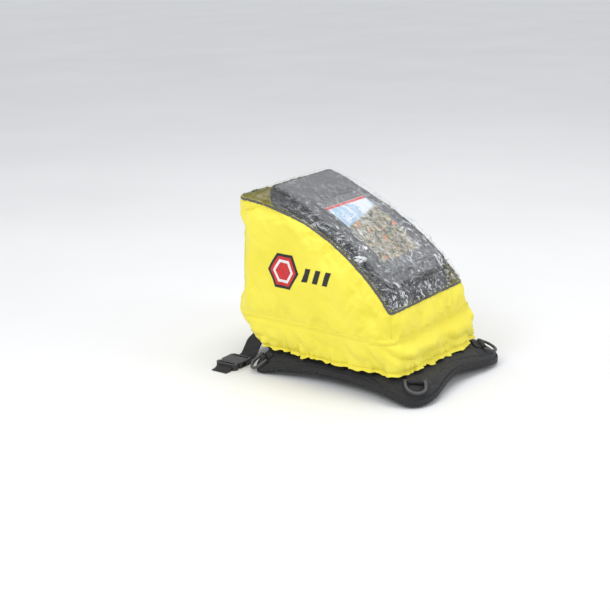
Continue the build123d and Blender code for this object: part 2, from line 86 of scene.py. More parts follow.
# ---------------------------------------------------------------- numbers
def noise(points, size, seed=0):
    """Smooth values from -1 to 1 at points, with features about `size` across."""
    q = np.asarray(points, float) / size + 512.0 + 17.13 * seed
    cell = np.floor(q).astype(np.int64)
    t = q - cell
    t = t * t * t * (t * (t * 6 - 15) + 10)
    total = np.zeros(len(q))
    for corner in range(8):
        pick = np.array([corner & 1, corner >> 1 & 1, corner >> 2 & 1])
        c = (cell + pick).astype(np.uint64)
        h = c[:, 0] * np.uint64(0x9E3779B1) ^ c[:, 1] * np.uint64(0x85EBCA77)
        h = h ^ c[:, 2] * np.uint64(0xC2B2AE3D)
        h = (h ^ (h >> np.uint64(15))) * np.uint64(0x2C1B3C6D)
        h = (h ^ (h >> np.uint64(12))) * np.uint64(0x297A2D39)
        h = (h ^ (h >> np.uint64(15))) & np.uint64(0xFFFFFF)
        weight = np.prod(np.where(pick, t, 1 - t), axis=1)
        total += weight * (h.astype(float) / 0x7FFFFF - 1)
    return total


def creases(points, size, seed=0):
    """Sharp folds: 0 along the creases, rising to about 1 between them."""
    return np.abs(noise(points, size, seed)) * 2


def ramp(value, low, high):
    """Smooth step from 0 at low to 1 at high."""
    t = np.clip((value - low) / (high - low), 0, 1)
    return t * t * (3 - 2 * t)


def circle_through(a, b, c):
    """Centre and radius of the circle through three points seen from the side."""
    (ax, az), (bx, bz), (cx, cz) = a, b, c
    d = 2 * (ax * (bz - cz) + bx * (cz - az) + cx * (az - bz))
    a2, b2, c2 = ax * ax + az * az, bx * bx + bz * bz, cx * cx + cz * cz
    x = (a2 * (bz - cz) + b2 * (cz - az) + c2 * (az - bz)) / d
    z = (a2 * (cx - bx) + b2 * (ax - cx) + c2 * (bx - ax)) / d
    return x, z, math.hypot(ax - x, az - z)


def border_height(x):
    """Height of the window's edge at x."""
    cx, cz, r = circle_through(*BORDER)
    inside = np.clip(x, BORDER[0][0], BORDER[2][0])
    z = cz + np.sqrt(r * r - (inside - cx) ** 2)
    ahead = np.clip(BORDER[0][0] - x, 0, 1) * 0.0124
    return z + ahead + BASE


def lid_circle():
    """Centre and radius of the lid's curve, its length and its tilt."""
    long = math.hypot(LID_REAR[0] - LID_FRONT[0], LID_REAR[1] - LID_FRONT[1])
    tilt = math.atan2(LID_FRONT[1] - LID_REAR[1], LID_REAR[0] - LID_FRONT[0])
    radius = (long ** 2 / 4 + LID_SAG ** 2) / (2 * LID_SAG)
    x = (LID_FRONT[0] + LID_REAR[0]) / 2 - (radius - LID_SAG) * math.sin(tilt)
    z = (LID_FRONT[1] + LID_REAR[1]) / 2 - (radius - LID_SAG) * math.cos(tilt)
    return x, z + BASE, radius, long, tilt


def lid_height(x, depth=0.0):
    """Height of the sheet that lies depth below the lid's top."""
    cx, cz, r, long, tilt = lid_circle()
    r -= depth
    return cz + np.sqrt(np.maximum(r * r - (x - cx) ** 2, 1e-6))


def on_lid(along, across, lift=0.0):
    """Point over the lid, by its distance along the lid from the front edge and across it."""
    cx, cz, r, long, tilt = lid_circle()
    x = LID_FRONT[0] + along * math.cos(tilt)
    z = LID_FRONT[1] + BASE - along * math.sin(tilt)
    ux, uz = math.sin(tilt), math.cos(tilt)
    px, pz = x - cx, z - cz
    b = ux * px + uz * pz
    way = -b + math.sqrt(b * b - (px * px + pz * pz - (r + lift) ** 2))
    return Vector((x + way * ux, across, z + way * uz))


# ---------------------------------------------------------------- mesh helpers
def new_object(name, verts, faces):
    mesh = bpy.data.meshes.new(name)
    mesh.from_pydata([tuple(v) for v in verts], [], [tuple(f) for f in faces])
    mesh.update()
    obj = bpy.data.objects.new(name, mesh)
    scene.collection.objects.link(obj)
    return obj


def coords(obj):
    co = np.zeros(len(obj.data.vertices) * 3, np.float32)
    obj.data.vertices.foreach_get("co", co)
    return co.reshape(-1, 3).astype(float)


def set_coords(obj, co):
    obj.data.vertices.foreach_set("co", np.asarray(co, np.float32).ravel())
    obj.data.update()


def normals(obj):
    co = np.zeros(len(obj.data.vertices) * 3, np.float32)
    obj.data.vertices.foreach_get("normal", co)
    return co.reshape(-1, 3).astype(float)


def smooth_shade(obj):
    obj.data.polygons.foreach_set("use_smooth", [True] * len(obj.data.polygons))


def apply(obj):
    """Bakes the modifiers into the mesh."""
    graph = bpy.context.evaluated_depsgraph_get()
    mesh = bpy.data.meshes.new_from_object(obj.evaluated_get(graph))
    obj.modifiers.clear()
    obj.data = mesh


def joined(name, parts):
    """One object from several CAD nodes."""
    bm = bmesh.new()
    for part in parts:
        bm.from_mesh(nodes[part].data)
    mesh = bpy.data.meshes.new(name)
    bm.to_mesh(mesh)
    bm.free()
    obj = bpy.data.objects.new(name, mesh)
    scene.collection.objects.link(obj)
    return obj


def hull(name, parts, below=0.0):
    """Convex hull of CAD nodes, optionally run on downward from its lowest rim."""
    bm = bmesh.new()
    for part in parts:
        for co in coords(nodes[part]):
            bm.verts.new(co)
    bmesh.ops.remove_doubles(bm, verts=bm.verts, dist=0.0004)
    low = min(v.co.z for v in bm.verts)
    if below:
        for v in [v for v in bm.verts if v.co.z < low + 0.0005]:
            bm.verts.new(v.co - Vector((0, 0, below)))
    bmesh.ops.convex_hull(bm, input=bm.verts)
    loose = [v for v in bm.verts if not v.link_faces]
    bmesh.ops.delete(bm, geom=loose, context="VERTS")
    bmesh.ops.recalc_face_normals(bm, faces=bm.faces)
    mesh = bpy.data.meshes.new(name)
    bm.to_mesh(mesh)
    bm.free()
    obj = bpy.data.objects.new(name, mesh)
    scene.collection.objects.link(obj)
    return obj


def planes_of(obj):
    """Planes of a convex body's faces, slivers left out."""
    middle = Vector(coords(obj).mean(0))
    found = []
    for p in obj.data.polygons:
        if p.area > 3e-7:
            n = p.normal if p.normal.dot(p.center - middle) > 0 else -p.normal
            found.append((tuple(n), n.dot(p.center)))
    return np.array([n for n, d in found]), np.array([d for n, d in found]) + 0.00005


def remesh(obj, voxel, relax=4):
    """Even mesh with softened edges."""
    m = obj.modifiers.new("remesh", "REMESH")
    m.mode = "VOXEL"
    m.voxel_size = voxel
    apply(obj)
    if relax:
        s = obj.modifiers.new("relax", "SMOOTH")
        s.factor = 0.5
        s.iterations = relax
        apply(obj)
    return obj


def subdivide(obj):
    obj.modifiers.new("subdivide", "SUBSURF").levels = 1
    apply(obj)


def puff(obj, pressure, cap, held=None, grow=0.0):
    """Cloth simulation with air inside: the mesh swells, but no point moves further than cap."""
    rest = coords(obj)
    cloth = obj.modifiers.new("cloth", "CLOTH")
    cs = cloth.settings
    cs.quality = 5
    cs.mass = 0.3
    cs.tension_stiffness = 15
    cs.compression_stiffness = 15
    cs.bending_stiffness = 0.5
    cs.use_pressure = True
    cs.uniform_pressure_force = pressure
    cs.shrink_min = -grow
    cs.effector_weights.gravity = 0
    cloth.collision_settings.use_collision = False
    if held is not None:
        group = obj.vertex_groups.new(name="held")
        for level in (1.0, 0.6, 0.3):
            chosen = [int(i) for i in np.nonzero(np.abs(held - level) < 0.15)[0]]
            group.add(chosen, level, "REPLACE")
        cs.vertex_group_mass = "held"
    cloth.point_cache.frame_start = 1
    cloth.point_cache.frame_end = PUFF_FRAMES
    for f in range(1, PUFF_FRAMES + 1):
        scene.frame_set(f)
    graph = bpy.context.evaluated_depsgraph_get()
    moved = obj.evaluated_get(graph).data
    co = np.zeros(len(moved.vertices) * 3, np.float32)
    moved.vertices.foreach_get("co", co)
    step = co.reshape(-1, 3) - rest
    length = np.linalg.norm(step, axis=1, keepdims=True)
    step *= np.minimum(1, cap / np.maximum(length, 1e-9))
    obj.modifiers.clear()
    obj.vertex_groups.clear()
    set_coords(obj, rest + step)
    scene.frame_set(1)


def tree(obj):
    verts = [v.co.copy() for v in obj.data.vertices]
    polys = [tuple(p.vertices) for p in obj.data.polygons]
    return BVHTree.FromPolygons(verts, polys)


def stick(bvh, points, lift=0.0):
    """Nearest points on a surface, and its outward directions there."""
    spots, ups = [], []
    for p in points:
        spot, up, index, gap = bvh.find_nearest(Vector(p))
        spots.append(spot + up * lift)
        ups.append(up)
    return spots, ups


def cut_loop(planes, height, count, centre=(-0.06, 0.0)):
    """Closed line where the sheet z = height(x) leaves a convex body, seen from above at its centre."""
    n, d = planes
    points = []
    for k in range(count):
        turn = 2 * math.pi * k / count
        low, high = 0.0, 0.5
        for step in range(26):
            r = (low + high) / 2
            x, y = centre[0] + r * math.cos(turn), centre[1] + r * math.sin(turn)
            p = np.array([x, y, float(height(x))])
            if np.all(n @ p <= d + 1e-6):
                low = r
            else:
                high = r
        points.append(Vector(p))
    return even(points)


def even(points):
    """The same closed line with its points evenly spaced."""
    pts = points + [points[0]]
    runs = [0.0]
    for a, b in zip(pts, pts[1:]):
        runs.append(runs[-1] + (b - a).length)
    marks = np.linspace(0, runs[-1], len(points), endpoint=False)
    out = np.stack([np.interp(marks, runs, [p[i] for p in pts]) for i in range(3)], 1)
    return [Vector(p) for p in out]


def strip(name, points, ups, profile, closed):
    """Runs a profile of (across, up) pairs along a line on a surface."""
    verts, faces = [], []
    count, wide = len(points), len(profile)
    for i, (p, up) in enumerate(zip(points, ups)):
        ahead = points[(i + 1) % count] if closed or i + 1 < count else p
        behind = points[i - 1] if closed or i else p
        along = (ahead - behind).normalized()
        side = along.cross(up).normalized()
        for across, high in profile:
            verts.append(p + side * across + up * high)
    for i in range(count if closed else count - 1):
        for j in range(wide - 1):
            a, b = i * wide + j, (i + 1) % count * wide + j
            faces.append((a, a + 1, b + 1, b))
    obj = new_object(name, verts, faces)
    smooth_shade(obj)
    return obj


def rope(name, points, ups, radius, closed, sides=10):
    """Round cord along a line."""
    ring = [(radius * math.cos(2 * math.pi * k / sides), radius * math.sin(2 * math.pi * k / sides))
            for k in range(sides + 1)]
    return strip(name, points, ups, ring, closed)


def stitches(name, rows, pitch=0.0042, length=0.0028, thick=0.00045):
    """Rows of thread: each row is (points, outward directions, closed, sideways offset)."""
    verts, faces = [], []
    for points, ups, closed, shift in rows:
        count = len(points)
        runs = [0.0]
        for a, b in zip(points, points[1:]):
            runs.append(runs[-1] + (b - a).length)
        for mark in np.arange(pitch / 2, runs[-1] - pitch / 2, pitch):
            i = min(int(np.searchsorted(runs, mark)) - 1, count - 2)
            i = max(i, 0)
            t = (mark - runs[i]) / max(runs[i + 1] - runs[i], 1e-9)
            along = (points[i + 1] - points[i]).normalized()
            up = ups[i].lerp(ups[i + 1], t).normalized()
            side = along.cross(up).normalized()
            middle = points[i].lerp(points[i + 1], t) + side * shift
            start = len(verts)
            for at, size, rise in ((-0.5, 0.35, -0.4), (-0.28, 1, 0.55), (0.28, 1, 0.55), (0.5, 0.35, -0.4)):
                for k in range(5):
                    a = 2 * math.pi * k / 5
                    verts.append(middle + along * length * at + side * thick * size * math.cos(a)
                                 + up * thick * (size * math.sin(a) + rise))
            for ring in range(3):
                for k in range(5):
                    a, b = start + ring * 5 + k, start + ring * 5 + (k + 1) % 5
                    faces.append((a, b, b + 5, a + 5))
    obj = new_object(name, verts, faces)
    smooth_shade(obj)
    return obj


def rounded(front, rear, half, corner, straight=150, bend=60, across=90):
    """Rounded oblong as points, run in fixed steps per side, so that two of them can be lofted."""
    points = []
    arcs = [((rear - corner, half - corner), 90, 0), ((rear - corner, -half + corner), 0, -90),
            ((front + corner, -half + corner), -90, -180), ((front + corner, half - corner), 180, 90)]
    for index, ((cx, cy), start, end) in enumerate(arcs):
        for k in range(bend):
            a = math.radians(start + (end - start) * k / bend)
            points.append((cx + corner * math.cos(a), cy + corner * math.sin(a)))
        nx, ny = arcs[(index + 1) % 4][0]
        b = math.radians(arcs[(index + 1) % 4][1])
        e = math.radians(end)
        p = (cx + corner * math.cos(e), cy + corner * math.sin(e))
        q = (nx + corner * math.cos(b), ny + corner * math.sin(b))
        steps = across if index in (0, 2) else straight
        for k in range(steps):
            points.append((p[0] + (q[0] - p[0]) * k / steps, p[1] + (q[1] - p[1]) * k / steps))
    return np.array(points)


def finish_piece(obj, body, material, stands_for=()):
    """Gives a piece its finish and body, and hides the CAD nodes that it stands for."""
    obj.data.materials.clear()
    obj.data.materials.append(material)
    smooth_shade(obj)
    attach(obj, body)
    if stands_for:
        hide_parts(*stands_for)
    return obj


# ---------------------------------------------------------------- materials
class Paint:
    """A material and the few nodes that every finish here is made from."""

    def __init__(self, name):
        self.material = bpy.data.materials.new(name)
        self.material.use_nodes = True
        self.tree = self.material.node_tree
        self.shader = self.tree.nodes["Principled BSDF"]
        self.where = self.tree.nodes.new("ShaderNodeTexCoord").outputs["Object"]

    def node(self, kind, **inputs):
        made = self.tree.nodes.new(kind)
        for key, value in inputs.items():
            socket = made.inputs[key.replace("_", " ")]
            if isinstance(value, bpy.types.NodeSocket):
                self.tree.links.new(value, socket)
            else:
                socket.default_value = value
        return made

    def noise(self, scale, detail=3.0, rough=0.5, distortion=0.0, where=None):
        made = self.node("ShaderNodeTexNoise", Scale=scale, Detail=detail, Roughness=rough,
                         Distortion=distortion)
        self.tree.links.new(where or self.where, made.inputs["Vector"])
        return made.outputs["Fac"]

    def math(self, kind, a, b=0.0, c=None):
        made = self.tree.nodes.new("ShaderNodeMath")
        made.operation = kind
        for socket, value in zip(made.inputs, (a, b, c)):
            if isinstance(value, bpy.types.NodeSocket):
                self.tree.links.new(value, socket)
            elif value is not None:
                socket.default_value = value
        return made.outputs[0]

    def ramp(self, value, *stops):
        made = self.node("ShaderNodeValToRGB", Fac=value)
        band = made.color_ramp
        while len(band.elements) < len(stops):
            band.elements.new(0.5)
        for element, (at, color) in zip(band.elements, stops):
            element.position = at
            element.color = (*color, 1)
        return made.outputs["Color"]

    def mix(self, a, b, factor):
        made = self.tree.nodes.new("ShaderNodeMix")
        made.data_type = "RGBA"
        self.tree.links.new(factor, made.inputs["Factor"])
        for socket, value in ((made.inputs[6], a), (made.inputs[7], b)):
            if isinstance(value, bpy.types.NodeSocket):
                self.tree.links.new(value, socket)
            else:
                socket.default_value = (*value, 1)
        return made.outputs[2]

    def remap(self, value, a, b, c, d):
        made = self.node("ShaderNodeMapRange", Value=value)
        made.inputs["From Min"].default_value = a
        made.inputs["From Max"].default_value = b
        made.inputs["To Min"].default_value = c
        made.inputs["To Max"].default_value = d
        return made.outputs[0]

    def weave(self, pitch):
        """Crossing threads, about one per pitch in metres, in all three directions."""
        total = None
        for axis in ("X", "Y", "Z"):
            wave = self.node("ShaderNodeTexWave", Scale=0.314 / pitch, Distortion=0.3, Detail=1.0)
            wave.bands_direction = axis
            self.tree.links.new(self.where, wave.inputs["Vector"])
            total = wave.outputs["Fac"] if total is None else self.math("ADD", total, wave.outputs["Fac"])
        return total

    def bump(self, height, strength, distance, under=None):
        made = self.node("ShaderNodeBump", Strength=strength, Distance=distance, Height=height)
        if under is not None:
            self.tree.links.new(under, made.inputs["Normal"])
        return made.outputs["Normal"]

    def set(self, **values):
        for key, value in values.items():
            socket = self.shader.inputs[key.replace("_", " ")]
            if isinstance(value, bpy.types.NodeSocket):
                self.tree.links.new(value, socket)
            else:
                socket.default_value = value
        return self.material

    def split(self, index):
        made = self.node("ShaderNodeSeparateXYZ", Vector=self.where)
        return made.outputs[index]


def cloth_paint(name, dark, light, pitch, rough=(0.7, 0.9), bump=0.25, sheen=0.0):
    """Woven fabric: blotchy colour, thread weave and uneven roughness."""
    p = Paint(name)
    patches = p.noise(28, 5, 0.6)
    threads = p.weave(pitch)
    tone = p.math("ADD", p.math("MULTIPLY", patches, 0.75), p.math("MULTIPLY", threads, 0.09))
    color = p.ramp(tone, (0.3, dark), (0.75, light))
    normal = p.bump(threads, bump, pitch * 0.4)
    normal = p.bump(p.noise(160, 3), bump * 0.5, 0.0006, normal)
    return p.set(Base_Color=color, Roughness=p.remap(patches, 0.3, 0.7, *rough), Normal=normal,
                 Sheen_Weight=sheen, Sheen_Roughness=0.5)


def plastic_paint(name, dark, light, rough, grain=900, bump=0.15, metallic=0.0):
    """Moulded or cast part: fine grain, faint flow marks, and scuffed patches."""
    p = Paint(name)
    flow = p.noise(60, 4, 0.6, 1.2)
    speck = p.noise(grain, 2)
    color = p.ramp(flow, (0.3, dark), (0.72, light))
    normal = p.bump(speck, bump, 0.0003)
    return p.set(Base_Color=color, Roughness=p.remap(flow, 0.3, 0.7, *rough), Normal=normal,
                 Metallic=metallic)


def yellow_paint():
    """Coated fluorescent fabric: fine weave, small puckers and a faint painted glow from emission."""
    p = Paint("fluorescent_taffeta")
    patches = p.noise(9, 4, 0.55)
    threads = p.weave(0.0009)
    color = p.ramp(p.math("ADD", p.math("MULTIPLY", patches, 0.9), p.math("MULTIPLY", threads, 0.03)),
                   (0.3, (0.80, 0.69, 0.045)), (0.75, (0.90, 0.80, 0.085)))
    normal = p.bump(p.noise(30, 5, 0.55, 0.9), 0.5, 0.006)
    normal = p.bump(p.noise(130, 4, 0.6, 1.5), 0.22, 0.001, normal)
    normal = p.bump(threads, 0.12, 0.0002, normal)
    # The emission is a painted glow that lifts the yellow; the fabric is no lamp.
    return p.set(Base_Color=color, Roughness=p.remap(patches, 0.3, 0.7, 0.42, 0.58), Normal=normal,
                 Sheen_Weight=0.15, Sheen_Roughness=0.4, Specular_IOR_Level=0.4,
                 Emission_Color=(0.9, 0.8, 0.06, 1), Emission_Strength=0.03)


def film_paint(name, calm, busy, clear=0.045, highlight_weight=0.62):
    """Clear soft film: glossy, with painted highlights: near-white crease streaks and glints put into the
    alpha, thickening towards the rider.
    """
    p = Paint(name)
    x = p.split(0)
    crumple = p.remap(x, -0.11, 0.03, calm, busy)
    stretch = p.node("ShaderNodeMapping", Vector=p.where)
    stretch.inputs["Rotation"].default_value = (0.0, 0.5, 0.25)
    stretch.inputs["Scale"].default_value = (0.42, 1.0, 1.0)
    along = stretch.outputs["Vector"]
    coarse = p.noise(30, 3, 0.5, 1.6, along)
    fine = p.noise(85, 4, 0.6, 2.2, along)
    # Crease lines and glints below are painted highlights: they raise the alpha so the near-white film colour
    # shows as white streaks whatever the lighting.
    line_a = p.remap(p.math("ABSOLUTE", p.math("SUBTRACT", coarse, 0.5)), 0.0, 0.012, 1.0, 0.0)
    line_b = p.remap(p.math("ABSOLUTE", p.math("SUBTRACT", fine, 0.5)), 0.0, 0.034, 1.0, 0.0)
    patch = p.remap(p.noise(17, 2, 0.5, 0.6), 0.36, 0.56, 0.15, 1.0)
    glint = p.remap(p.noise(52, 3, 0.6, 2.8, along), 0.53, 0.61, 0.0, 1.0)
    painted_streaks = p.math("ADD", p.math("MULTIPLY", line_a, 0.45), p.math("MULTIPLY", line_b, 0.40))
    painted_streaks = p.math("ADD", painted_streaks, p.math("MULTIPLY", p.math("MULTIPLY", glint, patch), 1.1))
    # Alpha: a faint clear base plus the painted highlight streaks, weighted by how crumpled the film is.
    alpha = p.math("MULTIPLY_ADD", p.math("MULTIPLY", painted_streaks, crumple), highlight_weight, clear)
    alpha = p.math("MINIMUM", alpha, 0.92)
    normal = p.bump(coarse, 0.35, 0.004)
    normal = p.bump(fine, 0.6, 0.0022, normal)
    # Near-white colour that the painted highlight streaks show.
    highlight_tint = p.ramp(coarse, (0.3, (0.74, 0.77, 0.80)), (0.7, (0.93, 0.95, 0.97)))
    p.material.surface_render_method = "BLENDED"
    return p.set(Base_Color=highlight_tint, Roughness=p.remap(fine, 0.3, 0.7, 0.04, 0.16), Alpha=alpha, Normal=normal,
                 Specular_IOR_Level=0.7, Coat_Weight=0.5, Coat_Roughness=0.05)


def map_paint():
    """Generic road map: a pale title panel with a blue shape, a red edge, and mottled country with roads."""
    p = Paint("printed_paper")
    x, y = p.split(0), p.split(1)
    first, last = on_lid(MAP[0], 0).x, on_lid(MAP[1], 0).x
    along = p.remap(x, first, last, 0.0, 1.0)
    country = p.noise(85, 5, 0.7, 0.6)
    land = p.ramp(country, (0.30, (0.012, 0.018, 0.012)), (0.43, (0.06, 0.08, 0.035)),
                  (0.5, (0.20, 0.16, 0.09)), (0.57, (0.48, 0.45, 0.38)),
                  (0.64, (0.08, 0.08, 0.07)), (0.76, (0.70, 0.68, 0.62)))
    veins = p.math("ABSOLUTE", p.math("SUBTRACT", p.noise(38, 2, 0.4, 1.0), 0.5))
    roads = p.remap(veins, 0.0, 0.012, 1.0, 0.0)
    towns = p.remap(p.noise(70, 2), 0.66, 0.69, 0.0, 1.0)
    land = p.mix(land, (0.85, 0.62, 0.25), roads)
    land = p.mix(land, (0.70, 0.20, 0.06), towns)
    sea = p.ramp(p.noise(24, 3, 0.5, 1.0), (0.45, (0.72, 0.76, 0.80)), (0.52, (0.34, 0.52, 0.70)),
                 (0.7, (0.5, 0.64, 0.76)))
    slant = p.math("MULTIPLY_ADD", y, 1.6, along)
    panel = p.remap(slant, 0.30, 0.34, 1.0, 0.0)
    color = p.mix(land, sea, panel)
    red = p.remap(along, 0.055, 0.07, 1.0, 0.0)
    color = p.mix(color, (0.62, 0.06, 0.05), red)
    edge = p.remap(along, 0.012, 0.02, 1.0, 0.0)
    color = p.mix(color, (0.8, 0.8, 0.78), edge)
    normal = p.bump(p.noise(220, 3), 0.2, 0.0004)
    return p.set(Base_Color=color, Roughness=p.remap(country, 0.3, 0.7, 0.5, 0.7), Normal=normal)


YELLOW = yellow_paint()
# Both films carry painted highlight streaks in their alpha.
FILM = film_paint("clear_film_cover", 0.22, 1.0)
POCKET_FILM = film_paint("clear_film_pocket", 0.25, 0.4, 0.05, 0.35)
PAD_CLOTH = cloth_paint("pad_nylon", (0.006, 0.006, 0.007), (0.019, 0.019, 0.020), 0.0011,
                        (0.6, 0.8), 0.3, 0.1)
BAG_CLOTH = cloth_paint("bag_polyester", (0.012, 0.012, 0.013), (0.030, 0.030, 0.033), 0.0013,
                        (0.65, 0.85), 0.35, 0.1)
LID_CLOTH = cloth_paint("lid_polyester", (0.085, 0.085, 0.09), (0.135, 0.135, 0.14), 0.0013,
                        (0.65, 0.85), 0.35, 0.15)
WEBBING = cloth_paint("nylon_webbing", (0.007, 0.007, 0.008), (0.024, 0.024, 0.025), 0.0017, (0.5, 0.7), 0.6)
TAPE = cloth_paint("ribbed_tape", (0.007, 0.007, 0.008), (0.022, 0.022, 0.023), 0.0012, (0.55, 0.75), 0.5)
PIPING = cloth_paint("grey_piping", (0.012, 0.012, 0.013), (0.03, 0.03, 0.032), 0.0010, (0.5, 0.7), 0.4)
THREAD = cloth_paint("black_thread", (0.02, 0.02, 0.02), (0.06, 0.06, 0.06), 0.0005, (0.5, 0.7), 0.4)
YELLOW_THREAD = cloth_paint("yellow_thread", (0.62, 0.52, 0.03), (0.85, 0.74, 0.08), 0.0005, (0.5, 0.7), 0.4)
SEAM_GREY = cloth_paint("window_seam_tape", (0.05, 0.05, 0.05), (0.14, 0.14, 0.13), 0.0009, (0.4, 0.6), 0.3)
RING_PLASTIC = plastic_paint("acetal_ring", (0.030, 0.030, 0.032), (0.065, 0.065, 0.068), (0.32, 0.5))
BUCKLE_PLASTIC = plastic_paint("acetal_buckle", (0.015, 0.015, 0.016), (0.04, 0.04, 0.042), (0.35, 0.52))
HANDLE_RUBBER = plastic_paint("soft_handle", (0.018, 0.018, 0.018), (0.045, 0.045, 0.045),
                              (0.55, 0.75), 500, 0.4)
PULL_RUBBER = plastic_paint("soft_pull", (0.018, 0.018, 0.018), (0.045, 0.045, 0.045), (0.55, 0.75), 500, 0.4)
ZIP_METAL = plastic_paint("zip_metal", (0.10, 0.10, 0.105), (0.24, 0.24, 0.25), (0.25, 0.45), 700, 0.2, 0.9)
ZIP_COIL = plastic_paint("zip_coil", (0.02, 0.02, 0.02), (0.05, 0.05, 0.05), (0.3, 0.5))
BADGE_BLACK = plastic_paint("print_black", (0.006, 0.006, 0.006), (0.02, 0.02, 0.02), (0.4, 0.55), 300, 0.1)
BADGE_WHITE = plastic_paint("print_white", (0.72, 0.72, 0.70), (0.86, 0.86, 0.84), (0.4, 0.55), 300, 0.1)
BADGE_RED = plastic_paint("print_red", (0.50, 0.015, 0.02), (0.68, 0.03, 0.03), (0.4, 0.55), 300, 0.1)
MAP_PAPER = map_paint()


# ---------------------------------------------------------------- rain cover
COVER_PANELS = ["cover_panel_front", "cover_panel_rear", "cover_panel_left", "cover_panel_right"]


def make_cover():
    """One sewn shell, swollen and wrinkled by simulation, then cut into its fabric and its window."""
    body = hull("rain_cover_fabric", COVER_PANELS + ["cover_window"], below=0.014)
    planes = planes_of(body)
    remesh(body, 0.004, 6)
    co = coords(body)
    border = co[:, 2] - border_height(co[:, 0])
    held = np.zeros(len(co))
    held[np.abs(border) < 0.004] = 0.3
    held[border > 0.004] = 0.3
    held[co[:, 2] < WAIST_Z + 0.001] = 1.0
    puff(body, 2.5, 0.008, held, grow=0.045)
    subdivide(body)
    co, up = coords(body), normals(body)
    border = co[:, 2] - border_height(co[:, 0])
    window = ramp(border, 0.000, 0.012)
    rear = ramp(co[:, 0], -0.09, 0.05)
    q = co * (1, 1, 1.2)
    crinkle = (creases(q, 0.030, 1) - 0.5) * 0.0022 + (creases(q, 0.013, 2) - 0.5) * 0.0014
    crinkle += (creases(q, 0.006, 3) - 0.5) * 0.0006
    calm = noise(q * (0.35, 1, 0.35), 0.03, 4) * 0.0012
    sheared = co + np.stack([co[:, 2] * 0.7, co[:, 2] * 0.3, co[:, 0] * 0.3], 1)
    drape = noise(co * (1, 1, 0.6), 0.085, 5) * 0.0030
    drape = drape + (creases(sheared * (1, 1, 0.55), 0.048, 6) - 0.5) * 0.0026
    puckered = ramp(np.abs(noise(co, 0.09, 8)), 0.15, 0.5)
    drape += (creases(sheared * (0.8, 1, 0.9), 0.024, 7) - 0.5) * 0.0011 * puckered
    step = window * (rear * crinkle * 1.4 + (1 - rear) * calm) + (1 - window) * drape
    step *= ramp(co[:, 2], WAIST_Z - 0.002, WAIST_Z + 0.02)
    set_coords(body, co + up * step[:, None])
    snap_to_border(body)
    bm = bmesh.new()
    bm.from_mesh(body.data)
    bmesh.ops.bisect_plane(bm, geom=bm.verts[:] + bm.edges[:] + bm.faces[:], plane_co=(0, 0, WAIST_Z),
                           plane_no=(0, 0, 1), clear_inner=True)
    bm.to_mesh(body.data)
    bm.free()
    skin = tree(body)
    film = bpy.data.objects.new("rain_cover_window", body.data.copy())
    scene.collection.objects.link(film)
    keep_side(body, False)
    keep_side(film, True)
    finish_piece(body, "rain_cover", YELLOW, COVER_PANELS)
    finish_piece(film, "rain_cover", FILM, ["cover_window"])
    return planes, skin


def snap_to_border(obj):
    """Moves the points beside the window's edge onto it, so that the cut is clean."""
    co = coords(obj)
    gap = co[:, 2] - border_height(co[:, 0])
    slope = (border_height(co[:, 0] + 0.001) - border_height(co[:, 0] - 0.001)) / 0.002
    near = np.abs(gap) / np.sqrt(1 + slope ** 2) < 0.0012
    move = -gap / (1 + slope ** 2)
    co[near, 2] += move[near]
    co[near, 0] -= (move * slope)[near]
    set_coords(obj, co)


def keep_side(obj, above):
    """Keeps the part above the window's edge, or the part below it."""
    bm = bmesh.new()
    bm.from_mesh(obj.data)
    middle = np.array([f.calc_center_median() for f in bm.faces])
    gap = middle[:, 2] - border_height(middle[:, 0])
    drop = [f for f, g in zip(list(bm.faces), gap) if (g > 0) != above]
    bmesh.ops.delete(bm, geom=drop, context="FACES")
    bm.to_mesh(obj.data)
    bm.free()


